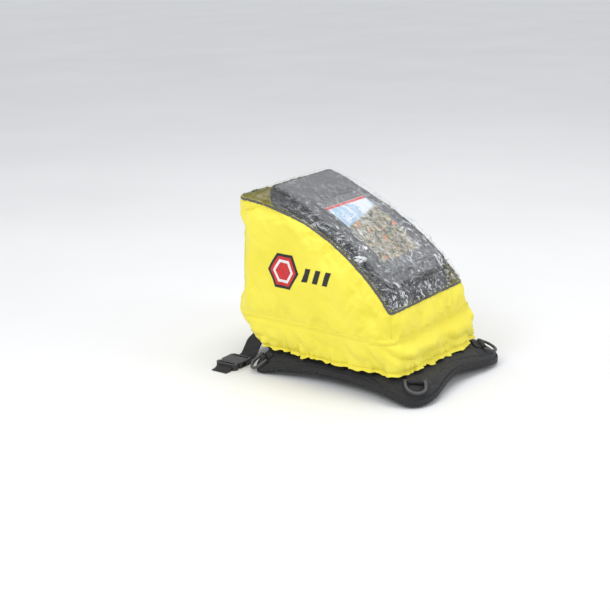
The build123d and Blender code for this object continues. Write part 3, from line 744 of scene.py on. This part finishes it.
def make_skirt(skin):
    """Gathered skirt, drawn in by the elastic, with a ruffled edge below it."""
    top, low = rounded(*WAIST), rounded(*HEM)
    count, rows = len(top), 46
    verts, faces = [], []
    verts.extend(stick(skin, [(x, y, WAIST_Z + 0.0040) for x, y in top], 0.0005)[0])
    spots, ups = stick(skin, [(x, y, WAIST_Z + 0.0006) for x, y in top], 0.0007)
    pull = np.array([s[:2] for s in spots]) - top
    for row in range(rows):
        t = row / (rows - 1)
        z = WAIST_Z + 0.0005 - t * (WAIST_Z - HEM_Z + 0.0025)
        share = (WAIST_Z - z) / (WAIST_Z - HEM_Z)
        near = min(1.0, max(0.0, share))
        ruffle = ramp(np.array(share), 0.80, 1.04)
        ring = top + (low - top) * share
        ahead = np.roll(ring, -1, 0) - np.roll(ring, 1, 0)
        out = np.stack([-ahead[:, 1], ahead[:, 0]], 1) / np.linalg.norm(ahead, axis=1, keepdims=True)
        p = np.concatenate([ring, np.full((count, 1), z)], 1)
        slack = noise(p * (1, 1, 0.45), 0.075, 11) * 0.0050 * math.sin(math.pi * near ** 0.8)
        folds = noise(p * (1, 1, 0.26), 0.024, 12) * 0.0070 * near ** 1.1
        folds += (creases(p * (1, 1, 0.34), 0.013, 13) - 0.5) * 0.0052 * near ** 1.6
        sheared = p + np.stack([p[:, 2] * 0.8, p[:, 2] * 0.5, p[:, 2] * 0], 1)
        diagonal = (creases(sheared, 0.042, 14) - 0.5) * 0.0052
        folds += diagonal * math.sin(math.pi * near)
        belly = 0.0038 * math.sin(math.pi * near ** 0.8)
        pinch = -0.0030 * math.exp(-((share - 0.93) / 0.05) ** 2)
        flare = 0.0035 * ramp(np.array(share), 0.93, 1.04)
        step = (slack + folds + belly + pinch + flare) * ramp(np.array(share), -0.01, 0.12)
        scallop = noise(p * (1, 1, 0), 0.014, 15) * 0.0036 * ruffle
        scallop += 0.0016 * ruffle
        p[:, :2] += out * step[:, None] + pull * (1 - ramp(np.array(share), 0.0, 0.35))
        p[:, 2] += scallop
        verts.extend(p)
    for row in range(rows):
        for k in range(count):
            a, b = row * count + k, row * count + (k + 1) % count
            faces.append((a, a + count, b + count, b))
    skirt = new_object("rain_cover_skirt", verts, faces)
    finish_piece(skirt, "rain_cover", YELLOW, ["cover_skirt", "elastic_hem"])
    outward(skirt)
    return skirt


def outward(obj):
    """Turns the faces so that they look away from the bag's middle."""
    bm = bmesh.new()
    bm.from_mesh(obj.data)
    bmesh.ops.recalc_face_normals(bm, faces=bm.faces)
    bm.faces.ensure_lookup_table()
    middle = Vector((-0.05, 0, 0.1))
    score = sum((face.calc_center_median() - middle).dot(face.normal) for face in list(bm.faces)[::37])
    if score < 0:
        bmesh.ops.reverse_faces(bm, faces=bm.faces)
    bm.to_mesh(obj.data)
    bm.free()


def make_cover_seams(planes, skin):
    """Window tape, waist seam and corner seams, each with its stitches."""
    edge = cut_loop(planes, lambda x: border_height(np.array(x)), 620)
    spots, ups = stick(skin, edge, 0.0002)
    flat = [(-0.0022, -0.0002), (-0.0018, 0.0006), (0.0, 0.0009), (0.0018, 0.0006), (0.0022, -0.0002)]
    tape = strip("window_seam_tape", spots, ups, flat, True)
    finish_piece(tape, "rain_cover", SEAM_GREY, ["window_binding"])
    line = cut_loop(planes, lambda x: WAIST_Z + 0.0035, 620)
    seam_spots, seam_ups = stick(skin, line)
    fold = [(-0.0045, -0.0002), (-0.0030, 0.0010), (-0.0006, 0.0013), (0.0022, 0.0007), (0.0042, -0.0003)]
    ridge = strip("waist_seam", seam_spots, seam_ups, fold, True)
    finish_piece(ridge, "rain_cover", YELLOW, ["waist_tape"])
    rows = [(seam_spots, seam_ups, True, 0.0052), (spots, ups, True, 0.0040), (spots, ups, True, -0.0040)]
    for end, side in ((1, -1), (1, 1), (-1, -1), (-1, 1)):
        rear = end > 0
        x0 = WAIST[1] - WAIST[3] * 0.29 if rear else WAIST[0] + WAIST[3] * 0.29
        y0 = side * (WAIST[2] - WAIST[3] * 0.29)
        x1 = BORDER[2][0] - 0.012 if rear else BORDER[0][0] - 0.022
        y1 = side * (0.118 if rear else 0.088)
        z1 = BASE + (BORDER[2][1] if rear else BORDER[0][1]) + 0.004
        way = [Vector((x0, y0, WAIST_Z + 0.004)).lerp(Vector((x1, y1, z1)), k / 60) for k in range(61)]
        way_spots, way_ups = stick(skin, way)
        below = [k for k, s in enumerate(way_spots) if s[2] < border_height(np.array(s[0])) - 0.001]
        way_spots, way_ups = [way_spots[k] for k in below], [way_ups[k] for k in below]
        name = "corner_seam_%s_%s" % ("rear" if rear else "front", "left" if side < 0 else "right")
        low = [(-0.0026, 0.0), (-0.0010, 0.0013), (0.0006, 0.0013), (0.0022, 0.0)]
        corner = strip(name, way_spots, way_ups, low, False)
        finish_piece(corner, "rain_cover", YELLOW)
        rows.append((way_spots, way_ups, False, 0.0040))
    thread = stitches("cover_stitching", rows, 0.0040, 0.0027, 0.00035)
    finish_piece(thread, "rain_cover", YELLOW_THREAD)


def print_on(name, skin, outline, rings, lift, material, stands_for=()):
    """Flat print laid on the left side: concentric copies of an outline, carried onto the fabric."""
    low, high, corners = outline
    verts, faces = [], []
    per = len(corners)
    cx = sum(c[0] for c in corners) / per
    cz = sum(c[1] for c in corners) / per
    for ring in range(rings + 1):
        share = low + (high - low) * ring / rings
        for x, z in corners:
            start = Vector((cx + (x - cx) * share, -1.0, cz + (z - cz) * share))
            spot, up, index, gap = skin.ray_cast(start, Vector((0, 1, 0)))
            verts.append(spot + up * lift)
    for ring in range(rings):
        for k in range(per):
            a, b = ring * per + k, ring * per + (k + 1) % per
            faces.append((a, b, b + per, a + per))
    obj = new_object(name, verts, faces)
    outward(obj)
    return finish_piece(obj, "rain_cover", material, stands_for)


def dense(corners, steps=14):
    """Outline with extra points along its sides."""
    out = []
    for (ax, az), (bx, bz) in zip(corners, corners[1:] + corners[:1]):
        for k in range(steps):
            out.append((ax + (bx - ax) * k / steps, az + (bz - az) * k / steps))
    return out


def make_badge(skin):
    """Generic hexagon badge and three slanted stripes."""
    low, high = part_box("cover_badge")
    cx, cz = (low.x + high.x) / 2, (low.z + high.z) / 2
    r = (high.x - low.x) / 2
    hexagon = dense([(cx + r * math.cos(math.radians(60 * k)), cz + r * math.sin(math.radians(60 * k)))
                     for k in range(6)])
    print_on("badge_rim", skin, (0.84, 1.0, hexagon), 4, 0.00045, BADGE_BLACK, ["cover_badge"])
    print_on("badge_band", skin, (0.66, 0.84, hexagon), 4, 0.00045, BADGE_RED)
    print_on("badge_ring", skin, (0.50, 0.66, hexagon), 4, 0.00045, BADGE_WHITE)
    print_on("badge_heart", skin, (0.001, 0.50, hexagon), 8, 0.00045, BADGE_RED)
    low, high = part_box("cover_stripes")
    for k in range(3):
        x = low.x + 0.024 * k
        bar = dense([(x, low.z), (x + 0.012, low.z), (x + 0.020, high.z), (x + 0.008, high.z)])
        stands = ["cover_stripes"] if k == 0 else ()
        print_on("badge_stripe_%d" % (k + 1), skin, (0.001, 1.0, bar), 6, 0.00045, BADGE_BLACK,
                 stands)


# ---------------------------------------------------------------- bag, lid and map pocket
BAG_PARTS = ["bag_panel_front", "bag_panel_rear", "bag_panel_left", "bag_panel_right",
             "bag_foam_front", "bag_foam_rear", "bag_foam_left", "bag_foam_right", "bag_floor_board"]


def make_bag():
    """Bag's walls and lid, swollen by their foam."""
    block = hull("bag_hull", BAG_PARTS[:4] + ["lid_panel"])
    n, d = planes_of(block)
    upright = n[:, 2] < 0.5
    planes = n[upright], d[upright]
    bpy.data.objects.remove(block)
    walls = joined("bag_body", BAG_PARTS)
    remesh(walls, 0.0035, 3)
    co = coords(walls)
    held = np.zeros(len(co))
    held[co[:, 2] < BASE + 0.012] = 1.0
    held[co[:, 2] > lid_height(co[:, 0], LID_THICK + 0.006)] = 0.6
    puff(walls, 3.0, 0.0035, held, grow=0.01)
    finish_piece(walls, "harness_and_bag", BAG_CLOTH, BAG_PARTS)
    lid = joined("bag_lid", ["lid_panel", "lid_foam"])
    remesh(lid, 0.003, 3)
    puff(lid, 3.0, 0.0022)
    finish_piece(lid, "lid", LID_CLOTH, ["lid_panel", "lid_foam"])
    return planes, walls, lid


def make_zip(planes, walls, lid):
    """Piping on the lid's edge, zip tapes either side of the slit, and the zip's teeth."""
    rim = cut_loop(planes, lambda x: lid_height(np.array(x), 0.0008), 520)
    lid_skin, wall_skin = tree(lid), tree(walls)
    spots, ups = stick(lid_skin, rim, 0.0007)
    piping = rope("lid_piping_cord", spots, ups, 0.0021, True)
    finish_piece(piping, "lid", PIPING, ["lid_piping"])

    def part(depth, surface):
        line = cut_loop(planes, lambda x: lid_height(np.array(x), depth), 620)
        start = next(k for k in range(620) if line[k - 1].x < ZIP_FRONT <= line[k].x)
        line = [p for p in line[start:] + line[:start] if p.x >= ZIP_FRONT]
        return stick(surface, line)

    flat = [(-0.0028, 0.0), (-0.0026, 0.0009), (0.0, 0.0010), (0.0026, 0.0009), (0.0028, 0.0)]
    spots, ups = part(0.0046, lid_skin)
    upper = strip("zip_tape_on_lid", spots, ups, flat, False)
    finish_piece(upper, "lid", TAPE, ["zip_tape_lid"])
    spots, ups = part(0.0120, wall_skin)
    lower = strip("zip_tape_on_wall", spots, ups, flat, False)
    finish_piece(lower, "harness_and_bag", TAPE, ["zip_tape_wall"])
    for name, depth, body, surface in (("zip_coil_on_lid", 0.0074, "lid", lid_skin),
                                       ("zip_coil_on_wall", 0.0091, "harness_and_bag", wall_skin)):
        spots, ups = part(depth, surface)
        spots = [s + u * 0.0010 for s, u in zip(spots, ups)]
        coil = stitches(name, [(spots, ups, False, 0.0)], 0.0021, 0.0016, 0.00085)
        finish_piece(coil, body, ZIP_COIL)


def lid_grid(name, start, end, left, right, lift, skin, wave):
    """Thin sheet that lies on the lid, lifted by wave(along, across)."""
    verts, faces = [], []
    rows, columns = SHEET_STEPS
    for i in range(rows + 1):
        for j in range(columns + 1):
            along = start + (end - start) * i / rows
            across = left + (right - left) * j / columns
            p = on_lid(along, across, 0.02)
            down = (on_lid(along, across, 0.0) - p).normalized()
            spot, up, index, gap = skin.ray_cast(p, down)
            spot = spot if spot is not None else p + down * 0.02
            verts.append(spot - down * (lift + wave(along, across)))
    wide = columns + 1
    for i in range(rows):
        for j in range(columns):
            a = i * wide + j
            faces.append((a, a + 1, a + wide + 1, a + wide))
    obj = new_object(name, verts, faces)
    outward(obj)
    return obj


def map_folds(along, across):
    return 0.0005 * abs(math.sin((along - MAP[0]) / (MAP[1] - MAP[0]) * math.pi * 4)) + 0.0003


def film_waves(along, across):
    ripple = math.sin(along * 95 + 3 * math.sin(across * 40)) * math.cos(across * 60 + along * 30)
    return 0.0006 + 0.0005 * ripple


def make_pocket(lid):
    """Map, the film over it and the sewn frame around it."""
    skin = tree(lid)
    start, end, half = POCKET
    sheet = lid_grid("folded_road_map", *MAP, 0.0006, skin, map_folds)
    finish_piece(sheet, "lid", MAP_PAPER, ["folded_map"])
    film = lid_grid("map_pocket_film", start + 0.004, end - 0.004, -half + 0.004, half - 0.004, 0.0020, skin,
                    film_waves)
    finish_piece(film, "lid", POCKET_FILM, ["map_pocket_window"])
    corners = [(start, -half), (end, -half), (end, half), (start, half)]
    band = 0.0045
    points = []
    for a, b in dense(corners, 80):
        a = min(max(a, start + band), end - band)
        b = min(max(b, -half + band), half - band)
        points.append(on_lid(a, b, 0.0))
    spots, ups = stick(skin, even(points), 0.0008)
    flat = [(-0.0048, -0.0006), (-0.0042, 0.0014), (0.0, 0.0018), (0.0042, 0.0014), (0.0048, -0.0006)]
    rim = strip("map_pocket_rim", spots, ups, flat, True)
    finish_piece(rim, "lid", LID_CLOTH, ["map_pocket_frame"])
    up_spots = [s + u * 0.0017 for s, u in zip(spots, ups)]
    thread = stitches("map_pocket_stitching", [(up_spots, ups, True, 0.0028), (up_spots, ups, True, -0.0028)],
                      0.0036, 0.0025, 0.0003)
    finish_piece(thread, "lid", THREAD)


# ---------------------------------------------------------------- harness
PAD_PARTS = ["base_top_skin", "base_foam_core", "base_grip_layer"]


def from_rim(co, reach):
    """Distance of points from the pad's rim, whose radius is given for every degree."""
    turn = np.degrees(np.arctan2(co[:, 1], co[:, 0])) % 360
    return np.interp(turn, np.arange(361), np.append(reach, reach[0])) - np.hypot(co[:, 0], co[:, 1])


def make_pad():
    """Four-lobed pad with its bound edge and two rows of stitches."""
    pad = joined("harness_pad", PAD_PARTS)
    remesh(pad, 0.0032, 4)
    co = coords(pad)
    turn = np.degrees(np.arctan2(co[:, 1], co[:, 0])) % 360
    radius = np.hypot(co[:, 0], co[:, 1])
    reach = np.array([radius[np.abs((turn - a + 180) % 360 - 180) < 1.5].max() for a in range(360)])
    reach = (np.roll(reach, 1) + reach + np.roll(reach, -1)) / 3
    margin = from_rim(co, reach)
    held = np.where(margin > 0.050, 1.0, 0.0)
    held[margin < 0.006] = 0.6
    puff(pad, 4.0, 0.0022, held, grow=0.01)
    subdivide(pad)
    co, up = coords(pad), normals(pad)
    margin = from_rim(co, reach)
    groove = np.exp(-((margin - 0.014) / 0.0022) ** 2) * 0.0016
    edge = ramp(margin, 0.0, 0.02)
    dents = noise(co, 0.05, 21) * 0.0007 + (creases(co, 0.035, 22) - 0.5) * 0.0007
    set_coords(pad, co - up * (groove - dents * edge)[:, None])
    skin = tree(pad)
    finish_piece(pad, "harness_and_bag", PAD_CLOTH, PAD_PARTS)
    binding = joined("pad_binding", ["base_edge_binding"])
    remesh(binding, 0.0012, 3)
    co, up = coords(binding), normals(binding)
    ribs = noise(co, 0.0045, 23) * 0.00025
    set_coords(binding, co + up * ribs[:, None])
    finish_piece(binding, "harness_and_bag", TAPE, ["base_edge_binding"])
    ways = []
    for back in (0.0095, 0.0185):
        line = []
        for a in np.arange(0, 360, 0.75):
            r = np.interp(a, np.arange(361), np.append(reach, reach[0])) - back
            start = Vector((r * math.cos(math.radians(a)), r * math.sin(math.radians(a)), 0.2))
            spot, normal, index, gap = skin.ray_cast(start, Vector((0, 0, -1)))
            if spot is not None:
                line.append((spot, normal))
        ways.append(([s for s, n in line], [n for s, n in line], False, 0.0))
    thread = stitches("pad_stitching", ways, 0.0045, 0.0032, 0.00045)
    finish_piece(thread, "harness_and_bag", THREAD)


def soft_copy(name, node, voxel, body, material, relax=3, ripple=0.0):
    """Fabric version of a CAD node: rounded edges and a little ripple."""
    obj = joined(name, [node])
    remesh(obj, voxel, relax)
    if ripple:
        co, up = coords(obj), normals(obj)
        set_coords(obj, co + up * (noise(co, voxel * 9, 31) * ripple)[:, None])
    return finish_piece(obj, body, material, [node])


def make_webbing():
    """Webbing tabs and straps, the straps' stitches, and the padded flap in front."""
    root = "harness_and_bag"
    for end in ("front_left", "front_right", "rear_left", "rear_right"):
        soft_copy("webbing_tab_" + end, "ring_tab_" + end, 0.0010, root, WEBBING, 3, 0.00012)
    for side in ("left", "right"):
        soft_copy("handle_webbing_" + side, "handle_tab_" + side, 0.0010, root, WEBBING,
                  3, 0.00012)
        soft_copy("neck_strap_" + side, "front_strap_" + side, 0.0009, root, WEBBING,
                  2, 0.00018)
        soft_copy("strap_tail_" + side, "strap_end_" + side, 0.0009, "plug_" + side, WEBBING,
                  2, 0.00018)
    rows = []
    for name, side in (("left", -1), ("right", 1)):
        low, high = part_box("front_strap_" + name)
        strap = tree(bpy.data.objects["neck_strap_" + name])
        for x in (low.x + 0.004, high.x - 0.004):
            line = []
            for k in range(40):
                y = side * (abs(low.y if side > 0 else high.y) + 0.002 + 0.0013 * k)
                spot, up, index, gap = strap.ray_cast(Vector((x, y, 0.3)), Vector((0, 0, -1)))
                if spot is not None:
                    line.append((spot, up))
            rows.append(([q for q, n in line], [n for q, n in line], False, 0.0))
    thread = stitches("strap_stitching", rows, 0.0036, 0.0026, 0.00035)
    finish_piece(thread, "harness_and_bag", THREAD)
    flap = joined("front_flap_pad", ["front_flap"])
    remesh(flap, 0.0028, 4)
    puff(flap, 4.0, 0.0025)
    co, up = coords(flap), normals(flap)
    set_coords(flap, co + up * ((creases(co, 0.04, 41) - 0.5) * 0.0012)[:, None])
    finish_piece(flap, "harness_and_bag", PAD_CLOTH, ["front_flap"])


def dress_cad():
    """Procedural finishes for the rigid parts that stay as they are."""
    wear = {"d_ring": RING_PLASTIC, "buckle": BUCKLE_PLASTIC, "carry_handle": HANDLE_RUBBER,
            "zip_slider": ZIP_METAL, "zip_pull": PULL_RUBBER}
    for name, obj in nodes.items():
        if obj.hide_render:
            continue
        material = next((m for key, m in wear.items() if name.startswith(key)), TAPE)
        obj.data.materials.clear()
        obj.data.materials.append(material)


# ---------------------------------------------------------------- studio
def make_studio():
    """Pale floor, soft sky and three area lights."""
    corners = [(-40, -40, 0), (40, -40, 0), (40, 40, 0), (-40, 40, 0)]
    floor = new_object("studio_floor", corners, [(0, 1, 2, 3)])
    p = Paint("pale_floor")
    tone = p.noise(1.5, 3)
    p.set(Base_Color=p.ramp(tone, (0.3, (0.80, 0.80, 0.80)), (0.7, (0.84, 0.84, 0.84))), Roughness=0.6)
    floor.data.materials.append(p.material)
    world = bpy.data.worlds.new("studio")
    scene.world = world
    world.use_nodes = True
    sky = world.node_tree.nodes["Background"]
    sky.inputs["Color"].default_value = (0.95, 0.97, 1.0, 1)
    sky.inputs["Strength"].default_value = 0.78
    for name, place, aim, size, power in (
            ("key", (-0.5, -2.0, 2.2), (-0.05, 0, 0.15), 1.2, 25),
            ("top", (0.1, 0.4, 2.6), (-0.05, 0, 0.1), 1.5, 21),
            ("rear", (2.2, 0.4, 1.3), (0, 0, 0.2), 0.8, 9)):
        data = bpy.data.lights.new(name, "AREA")
        data.size = size
        data.energy = power
        light = bpy.data.objects.new(name, data)
        scene.collection.objects.link(light)
        way = Vector(aim) - Vector(place)
        light.matrix_world = Matrix.Translation(place) @ way.to_track_quat("-Z", "Y").to_matrix().to_4x4()


make_camera()
cover_planes, cover_skin = make_cover()
make_skirt(cover_skin)
make_cover_seams(cover_planes, cover_skin)
make_badge(cover_skin)
bag_planes, bag_walls, bag_lid = make_bag()
make_zip(bag_planes, bag_walls, bag_lid)
make_pocket(bag_lid)
make_pad()
make_webbing()
dress_cad()
make_studio()
